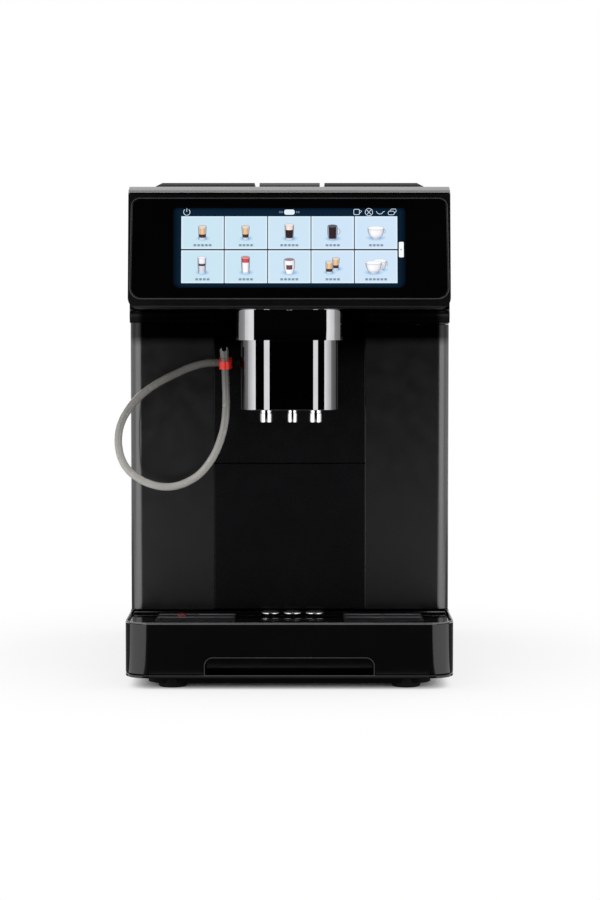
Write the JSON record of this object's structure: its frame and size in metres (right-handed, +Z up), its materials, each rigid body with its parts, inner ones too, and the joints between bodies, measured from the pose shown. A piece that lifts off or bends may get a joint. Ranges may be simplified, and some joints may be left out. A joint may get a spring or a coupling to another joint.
{
  "type": "hot coffee vending machine",
  "caption": "Counter-top bean-to-cup coffee machine with a wide touch display, height-adjustable spout, milk hose, hoppers, water tank and pull-out drip tray.",
  "frame": {"origin": "on the worktop under the middle of the machine's footprint, at the feet's undersides", "axes": "+Z up; the display, spout and drip tray face -Y; +X is to the right as seen from the front"},
  "size_m": [0.3543, 0.48, 0.525],
  "materials": {
    "gloss_black": "polished black moulded plastic",
    "satin_black": "fine satin black moulded plastic",
    "dark_grey": "dark grey, semi gloss",
    "mirror_black": "dark mirror-like chromed plastic",
    "chrome": "polished",
    "grille_metal": "dark brushed metal",
    "rubber": "matte black",
    "red_plastic": "red moulded plastic",
    "silicone": "translucent grey silicone",
    "steel": "turned steel",
    "sheet_steel": "grey painted sheet",
    "smoke_clear": "smoked clear plastic",
    "grey_plastic": "grey glass-filled plastic",
    "board": "green circuit board",
    "display": "lit touch display"
  },
  "bodies": {
    "machine": {"base_pan": "gloss_black", "display_glass": "gloss_black", "fan_housing": "gloss_black", "mains_inlet": "gloss_black", "left_side_shell": "satin_black", "right_cheek": "satin_black", "rear_panel": "satin_black", "centre_panel": "satin_black", "head_shell": "satin_black", "top_cover": "dark_grey", "spout_collar": "mirror_black", "foot_front_left": "rubber", "foot_front_right": "rubber", "foot_rear_left": "rubber", "foot_rear_right": "rubber", "coffee_pipe": "silicone", "door_hinge_pin": "steel", "lid_hinge_pin": "steel", "coffee_boiler": "steel", "inner_frame": "sheet_steel", "water_pump": "sheet_steel", "power_supply": "sheet_steel", "right_hopper": "smoke_clear", "left_hopper": "smoke_clear", "cup_light": "smoke_clear", "powder_chute": "grey_plastic", "left_grinder": "grey_plastic", "right_grinder": "grey_plastic", "brew_frame": "grey_plastic", "brew_chamber": "grey_plastic", "control_board": "board", "display_panel": "display"},
    "spout": {"spout_slider": "mirror_black", "nozzle_left": "chrome", "nozzle_centre": "chrome", "nozzle_right": "chrome", "milk_connector": "red_plastic", "milk_hose": "silicone", "milk_hose_tip": "silicone"},
    "drip_tray": {"drip_tray": "gloss_black"},
    "tray_cover": {"drip_tray_cover": "satin_black", "drip_grille_left": "grille_metal", "drip_grille_right": "grille_metal", "drain_cap_left": "chrome", "drain_cap_centre": "chrome", "drain_cap_right": "chrome"},
    "tray_float": {"tray_float": "red_plastic"},
    "grounds_drawer": {"grounds_drawer_front": "satin_black", "grounds_bin": "grey_plastic"},
    "service_door": {"service_door": "satin_black"},
    "left_hopper_lid": {"left_hopper_lid": "dark_grey"},
    "right_hopper_lid": {"right_hopper_lid": "dark_grey"},
    "centre_lid": {"centre_lid": "dark_grey"},
    "water_tank": {"water_tank": "smoke_clear"},
    "tank_lid": {"tank_lid": "dark_grey"},
    "fan_rotor": {"fan_rotor": "gloss_black"},
    "power_rocker": {"power_rocker": "gloss_black"},
    "left_burr": {"left_burr": "steel"},
    "right_burr": {"right_burr": "steel"},
    "brew_piston": {"brew_piston": "steel"}
  },
  "joints": [
    {"name": "spout_slide", "type": "slide", "parent": "machine", "child": "spout", "axis": [0, 0, 1], "range_m": [-0.095, 0]},
    {"name": "drip_tray_slide", "type": "slide", "parent": "machine", "child": "drip_tray", "axis": [0, -1, 0], "range_m": [0, 0.205]},
    {"name": "tray_cover_lift", "type": "slide", "parent": "drip_tray", "child": "tray_cover", "axis": [0, 0, 1], "range_m": [0, 0.06]},
    {"name": "tray_float_rise", "type": "slide", "parent": "drip_tray", "child": "tray_float", "axis": [0, 0, 1], "range_m": [0, 0.006]},
    {"name": "grounds_drawer_slide", "type": "slide", "parent": "machine", "child": "grounds_drawer", "axis": [0, -1, 0], "range_m": [0, 0.185]},
    {"name": "service_door_hinge", "type": "hinge", "parent": "machine", "child": "service_door", "pos_m": [0.162, 0.228, 0.224], "axis": [0, 0, 1], "range_deg": [0, 90]},
    {"name": "left_lid_hinge", "type": "hinge", "parent": "machine", "child": "left_hopper_lid", "pos_m": [0, 0.01, 0.5207], "axis": [-1, 0, 0], "range_deg": [0, 95]},
    {"name": "right_lid_hinge", "type": "hinge", "parent": "machine", "child": "right_hopper_lid", "pos_m": [0, 0.01, 0.5207], "axis": [-1, 0, 0], "range_deg": [0, 95]},
    {"name": "centre_lid_hinge", "type": "hinge", "parent": "machine", "child": "centre_lid", "pos_m": [0, 0.01, 0.5207], "axis": [-1, 0, 0], "range_deg": [0, 95]},
    {"name": "tank_lift", "type": "slide", "parent": "machine", "child": "water_tank", "axis": [0, 0, 1], "range_m": [0, 0.39]},
    {"name": "tank_lid_hinge", "type": "hinge", "parent": "water_tank", "child": "tank_lid", "pos_m": [0, 0.228, 0.516], "axis": [-1, 0, 0], "range_deg": [0, 95]},
    {"name": "fan_spin", "type": "hinge", "parent": "machine", "child": "fan_rotor", "pos_m": [-0.138, 0.2295, 0.3], "axis": [0, 1, 0], "continuous": true},
    {"name": "power_rocker_tilt", "type": "hinge", "parent": "machine", "child": "power_rocker", "pos_m": [-0.138, 0.232, 0.153], "axis": [1, 0, 0], "range_deg": [0, 15]},
    {"name": "left_burr_spin", "type": "hinge", "parent": "machine", "child": "left_burr", "pos_m": [-0.118, -0.06, 0.4], "axis": [0, 0, 1], "continuous": true},
    {"name": "right_burr_spin", "type": "hinge", "parent": "machine", "child": "right_burr", "pos_m": [0.118, -0.06, 0.4], "axis": [0, 0, 1], "continuous": true},
    {"name": "brew_piston_slide", "type": "slide", "parent": "machine", "child": "brew_piston", "axis": [0, 0, 1], "range_m": [0, 0.03]}
  ]
}
